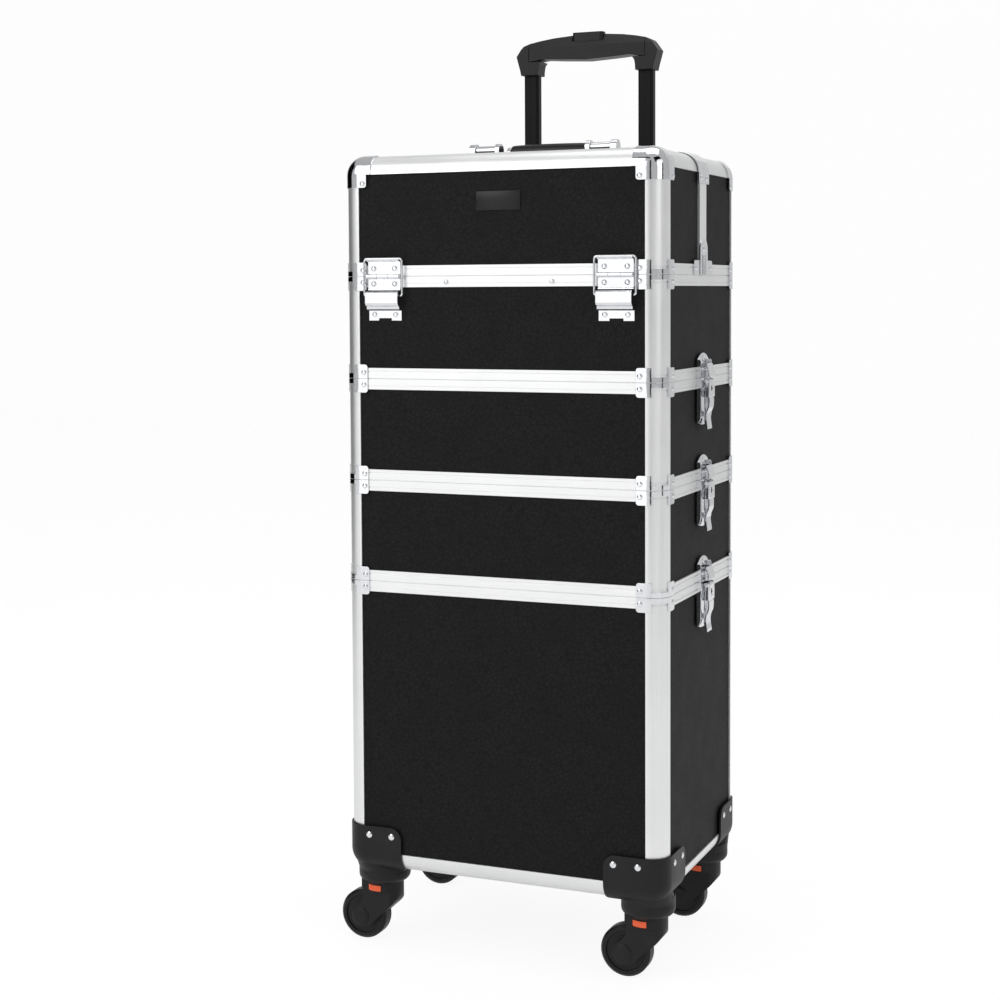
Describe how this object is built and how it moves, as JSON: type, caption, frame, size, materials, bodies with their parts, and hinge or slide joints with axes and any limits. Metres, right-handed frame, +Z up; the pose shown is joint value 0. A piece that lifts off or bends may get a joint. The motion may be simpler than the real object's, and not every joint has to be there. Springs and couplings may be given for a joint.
{
  "type": "rolling makeup train case",
  "caption": "Rolling makeup train case: stacked black sections in an aluminium frame, hinged lid, side draw latches, carry handle, pull-up trolley handle and swivel casters.",
  "frame": {"origin": "on the floor, under the middle of the case's width and depth", "axes": "+Z up; +X to the right of the hinged front seen from in front; +Y from the hinged front towards the trolley handle at the back"},
  "size_m": [0.3758, 0.2825, 0.956],
  "materials": {
    "panel_leatherette": "fine-grained black leatherette on board",
    "satin_aluminium": "satin anodised extrusion",
    "chrome_plate": "bright plated pressed steel",
    "caster_plastic": "fine moulded black plastic",
    "wheel_tread": "smooth black wheel plastic",
    "black_tube": "satin black tube",
    "grip_plastic": "soft satin black moulding",
    "carry_grip_plastic": "smooth black moulding",
    "orange_plastic": "bright orange moulded tab"
  },
  "bodies": {
    "root": {"bottom_panels": "panel_leatherette", "bottom_frame": "satin_aluminium", "bottom_corner_brackets": "chrome_plate", "bottom_latch_bases": "chrome_plate", "caster_housings": "caster_plastic", "caster_rivets": "chrome_plate", "trolley_outer_tubes": "black_tube", "trolley_tube_brackets": "black_tube"},
    "tier_3": {"tier_3_panels": "panel_leatherette", "tier_3_frame": "satin_aluminium", "tier_3_corner_brackets": "chrome_plate", "tier_3_latch_plates": "chrome_plate"},
    "tier_2": {"tier_2_panels": "panel_leatherette", "tier_2_frame": "satin_aluminium", "tier_2_corner_brackets": "chrome_plate", "tier_2_latch_plates": "chrome_plate"},
    "tier_1": {"tier_1_panels": "panel_leatherette", "tier_1_frame": "satin_aluminium", "tier_1_corner_brackets": "chrome_plate", "tier_1_latch_plates": "chrome_plate", "hinge_lower_leaves": "chrome_plate", "hinge_spring_housings": "chrome_plate"},
    "lid": {"lid_panels": "panel_leatherette", "lid_frame": "satin_aluminium", "lid_corner_caps": "chrome_plate", "lid_latch_strikes": "chrome_plate", "lid_centre_band": "satin_aluminium", "lid_band_brackets": "chrome_plate", "lid_top_fittings": "chrome_plate", "hinge_upper_leaves": "chrome_plate"},
    "bail_left": {"hinge_bail_left": "chrome_plate"},
    "bail_right": {"hinge_bail_right": "chrome_plate"},
    "carry_handle": {"carry_handle_arms": "chrome_plate", "carry_handle_grip": "carry_grip_plastic"},
    "strap_ring_left": {"strap_ring_left": "chrome_plate"},
    "strap_ring_right": {"strap_ring_right": "chrome_plate"},
    "latch_lever_4_left": {"latch_lever_4_left": "chrome_plate"},
    "latch_lever_4_right": {"latch_lever_4_right": "chrome_plate"},
    "latch_lever_3_left": {"latch_lever_3_left": "chrome_plate"},
    "latch_lever_3_right": {"latch_lever_3_right": "chrome_plate"},
    "latch_lever_2_left": {"latch_lever_2_left": "chrome_plate"},
    "latch_lever_2_right": {"latch_lever_2_right": "chrome_plate"},
    "latch_lever_rear_left": {"latch_lever_rear_left": "chrome_plate"},
    "latch_lever_rear_right": {"latch_lever_rear_right": "chrome_plate"},
    "swivel_front_left": {"caster_fork_front_left": "caster_plastic"},
    "wheel_front_left": {"caster_wheel_front_left": "wheel_tread"},
    "tab_front_left": {"release_tab_front_left": "orange_plastic"},
    "swivel_front_right": {"caster_fork_front_right": "caster_plastic"},
    "wheel_front_right": {"caster_wheel_front_right": "wheel_tread"},
    "tab_front_right": {"release_tab_front_right": "orange_plastic"},
    "swivel_back_left": {"caster_fork_back_left": "caster_plastic"},
    "wheel_back_left": {"caster_wheel_back_left": "wheel_tread"},
    "tab_back_left": {"release_tab_back_left": "orange_plastic"},
    "swivel_back_right": {"caster_fork_back_right": "caster_plastic"},
    "wheel_back_right": {"caster_wheel_back_right": "wheel_tread"},
    "tab_back_right": {"release_tab_back_right": "orange_plastic"},
    "trolley_middle": {"trolley_middle_tubes": "black_tube"},
    "trolley_inner": {"trolley_inner_tubes": "black_tube", "trolley_grip": "grip_plastic"},
    "trolley_button": {"trolley_button": "grip_plastic"}
  },
  "joints": [
    {"name": "tier_3_lift", "type": "slide", "parent": "root", "child": "tier_3", "axis": [0, 0, 1], "range_m": [0, 0.15]},
    {"name": "tier_2_lift", "type": "slide", "parent": "tier_3", "child": "tier_2", "axis": [0, 0, 1], "range_m": [0, 0.15]},
    {"name": "tier_1_lift", "type": "slide", "parent": "tier_2", "child": "tier_1", "axis": [0, 0, 1], "range_m": [0, 0.15]},
    {"name": "lid_hinge", "type": "hinge", "parent": "tier_1", "child": "lid", "pos_m": [0, -0.129, 0.6875], "axis": [1, 0, 0], "range_deg": [0, 95]},
    {"name": "bail_left_pivot", "type": "hinge", "parent": "lid", "child": "bail_left", "pos_m": [-0.1223, -0.129, 0.7052], "axis": [1, 0, 0], "range_deg": [-66.5, 0]},
    {"name": "bail_right_pivot", "type": "hinge", "parent": "lid", "child": "bail_right", "pos_m": [0.1223, -0.129, 0.7052], "axis": [1, 0, 0], "range_deg": [-66.5, 0]},
    {"name": "carry_handle_pivot", "type": "hinge", "parent": "lid", "child": "carry_handle", "pos_m": [0, 0, 0.819], "axis": [1, 0, 0], "range_deg": [0, 180]},
    {"name": "strap_ring_left_pivot", "type": "hinge", "parent": "lid", "child": "strap_ring_left", "pos_m": [-0.112, 0, 0.8129], "axis": [1, 0, 0], "range_deg": [0, 180]},
    {"name": "strap_ring_right_pivot", "type": "hinge", "parent": "lid", "child": "strap_ring_right", "pos_m": [0.112, 0, 0.8129], "axis": [1, 0, 0], "range_deg": [0, 180]},
    {"name": "latch_4_left_pivot", "type": "hinge", "parent": "root", "child": "latch_lever_4_left", "pos_m": [-0.1775, 0, 0.3764], "axis": [0, 1, 0], "range_deg": [0, 110]},
    {"name": "latch_4_right_pivot", "type": "hinge", "parent": "root", "child": "latch_lever_4_right", "pos_m": [0.1775, 0, 0.3764], "axis": [0, -1, 0], "range_deg": [0, 110]},
    {"name": "latch_3_left_pivot", "type": "hinge", "parent": "tier_3", "child": "latch_lever_3_left", "pos_m": [-0.1775, 0, 0.4789], "axis": [0, 1, 0], "range_deg": [0, 110]},
    {"name": "latch_3_right_pivot", "type": "hinge", "parent": "tier_3", "child": "latch_lever_3_right", "pos_m": [0.1775, 0, 0.4789], "axis": [0, -1, 0], "range_deg": [0, 110]},
    {"name": "latch_2_left_pivot", "type": "hinge", "parent": "tier_2", "child": "latch_lever_2_left", "pos_m": [-0.1775, 0, 0.5814], "axis": [0, 1, 0], "range_deg": [0, 110]},
    {"name": "latch_2_right_pivot", "type": "hinge", "parent": "tier_2", "child": "latch_lever_2_right", "pos_m": [0.1775, 0, 0.5814], "axis": [0, -1, 0], "range_deg": [0, 110]},
    {"name": "latch_rear_left_pivot", "type": "hinge", "parent": "tier_1", "child": "latch_lever_rear_left", "pos_m": [-0.1223, 0.1325, 0.6839], "axis": [1, 0, 0], "range_deg": [0, 110]},
    {"name": "latch_rear_right_pivot", "type": "hinge", "parent": "tier_1", "child": "latch_lever_rear_right", "pos_m": [0.1223, 0.1325, 0.6839], "axis": [1, 0, 0], "range_deg": [0, 110]},
    {"name": "swivel_front_left_turn", "type": "hinge", "parent": "root", "child": "swivel_front_left", "pos_m": [-0.1435, -0.093, 0.07], "axis": [0, 0, 1], "continuous": true},
    {"name": "wheel_front_left_spin", "type": "hinge", "parent": "swivel_front_left", "child": "wheel_front_left", "pos_m": [-0.165, -0.093, 0.0255], "axis": [0, 1, 0], "continuous": true},
    {"name": "tab_front_left_press", "type": "slide", "parent": "swivel_front_left", "child": "tab_front_left", "axis": [0, 1, 0], "range_m": [0, 0.0015], "stiffness_N_per_m": 400},
    {"name": "swivel_front_right_turn", "type": "hinge", "parent": "root", "child": "swivel_front_right", "pos_m": [0.1435, -0.093, 0.07], "axis": [0, 0, 1], "continuous": true},
    {"name": "wheel_front_right_spin", "type": "hinge", "parent": "swivel_front_right", "child": "wheel_front_right", "pos_m": [0.122, -0.093, 0.0255], "axis": [0, 1, 0], "continuous": true},
    {"name": "tab_front_right_press", "type": "slide", "parent": "swivel_front_right", "child": "tab_front_right", "axis": [0, 1, 0], "range_m": [0, 0.0015], "stiffness_N_per_m": 400},
    {"name": "swivel_back_left_turn", "type": "hinge", "parent": "root", "child": "swivel_back_left", "pos_m": [-0.1435, 0.093, 0.07], "axis": [0, 0, 1], "continuous": true},
    {"name": "wheel_back_left_spin", "type": "hinge", "parent": "swivel_back_left", "child": "wheel_back_left", "pos_m": [-0.165, 0.093, 0.0255], "axis": [0, 1, 0], "continuous": true},
    {"name": "tab_back_left_press", "type": "slide", "parent": "swivel_back_left", "child": "tab_back_left", "axis": [0, 1, 0], "range_m": [0, 0.0015], "stiffness_N_per_m": 400},
    {"name": "swivel_back_right_turn", "type": "hinge", "parent": "root", "child": "swivel_back_right", "pos_m": [0.1435, 0.093, 0.07], "axis": [0, 0, 1], "continuous": true},
    {"name": "wheel_back_right_spin", "type": "hinge", "parent": "swivel_back_right", "child": "wheel_back_right", "pos_m": [0.122, 0.093, 0.0255], "axis": [0, 1, 0], "continuous": true},
    {"name": "tab_back_right_press", "type": "slide", "parent": "swivel_back_right", "child": "tab_back_right", "axis": [0, 1, 0], "range_m": [0, 0.0015], "stiffness_N_per_m": 400},
    {"name": "trolley_middle_slide", "type": "slide", "parent": "root", "child": "trolley_middle", "axis": [0, 0, 1], "range_m": [-0.24, 0]},
    {"name": "trolley_inner_slide", "type": "slide", "parent": "trolley_middle", "child": "trolley_inner", "axis": [0, 0, 1], "range_m": [-0.25, 0]},
    {"name": "trolley_button_press", "type": "slide", "parent": "trolley_inner", "child": "trolley_button", "axis": [0, 0, 1], "range_m": [-0.002, 0], "stiffness_N_per_m": 800}
  ],
  "couplings": [
    {"joint": "bail_left_pivot", "follows": "lid_hinge", "ratio": -0.698},
    {"joint": "bail_right_pivot", "follows": "lid_hinge", "ratio": -0.698}
  ]
}
